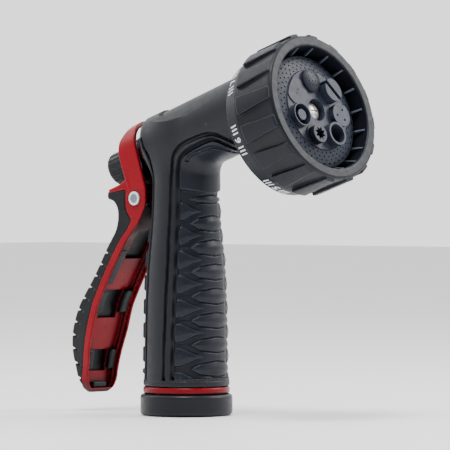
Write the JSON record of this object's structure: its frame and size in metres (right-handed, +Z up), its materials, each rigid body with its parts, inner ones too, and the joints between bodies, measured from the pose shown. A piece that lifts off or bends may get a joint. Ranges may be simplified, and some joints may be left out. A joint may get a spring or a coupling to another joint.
{
  "type": "garden hose nozzle",
  "caption": "Pistol-grip hose spray nozzle with a rear squeeze lever, flow knob and turning multi-pattern head.",
  "frame": {"origin": "centre of the hose inlet's mouth, at the foot of the handle", "axes": "+Z up the handle along the hose axis, +X towards the side the water leaves, +Y to the left of the jet"},
  "size_m": [0.1477, 0.066, 0.1627],
  "materials": {
    "casting": "cast",
    "brass": "turned",
    "black_plastic": "fine matt texture",
    "grip_rubber": "soft matt",
    "red_plastic": "satin gloss",
    "chrome": "bright",
    "steel": "drawn wire",
    "seal_rubber": "smooth",
    "face_plastic": "satin"
  },
  "bodies": {
    "nozzle_body": {"handle_tube": "casting", "valve_casting": "casting", "inlet_socket": "brass", "inlet_collar": "black_plastic", "trim_ring": "red_plastic", "hose_washer": "seal_rubber", "body_jacket": "black_plastic", "front_grip": "grip_rubber", "back_grip": "grip_rubber", "gland_nut": "chrome", "stem_seal": "seal_rubber", "valve_seat": "steel", "turret_seat": "black_plastic", "port_seal": "seal_rubber", "detent_ball": "steel", "detent_spring": "steel", "centre_screw": "chrome", "screw_washer": "steel", "valve_spring": "steel"},
    "lever": {"lever_frame": "red_plastic", "lever_pad": "grip_rubber", "pivot_rivet": "chrome"},
    "stem": {"valve_stem": "steel", "valve_plug": "brass", "plug_seal": "seal_rubber", "thrust_washer": "steel"},
    "knob": {"flow_knob": "black_plastic"},
    "turret": {"turret_ring": "black_plastic", "turret_base": "black_plastic", "nozzle_plate": "face_plastic", "mist_outlet": "face_plastic", "fan_outlet": "face_plastic", "soaker_outlet": "face_plastic", "full_outlet": "face_plastic", "star_outlet": "face_plastic", "cone_outlet": "face_plastic", "cone_pin": "face_plastic", "shower_cover": "face_plastic"}
  },
  "joints": [
    {"name": "lever_pivot", "type": "hinge", "parent": "nozzle_body", "child": "lever", "pos_m": [-0.0195, 0, 0.0937], "axis": [0, -1, 0], "range_deg": [0, 16], "stiffness_Nm_per_rad": 0.6, "springref_deg": -17.19},
    {"name": "stem_slide", "type": "slide", "parent": "nozzle_body", "child": "stem", "axis": [-0.9483, 0, -0.3173], "range_m": [0, 0.00525], "deforming": ["valve_spring"]},
    {"name": "knob_turn", "type": "hinge", "parent": "stem", "child": "knob", "pos_m": [-0.03509, 0, 0.10796], "axis": [0.9483, 0, 0.3173], "continuous": true},
    {"name": "turret_turn", "type": "hinge", "parent": "nozzle_body", "child": "turret", "pos_m": [0.06096, 0, 0.1266], "axis": [0.9483, 0, 0.3173], "continuous": true}
  ],
  "couplings": [
    {"joint": "stem_slide", "follows": "lever_pivot", "m_per_rad": 0.0188}
  ]
}
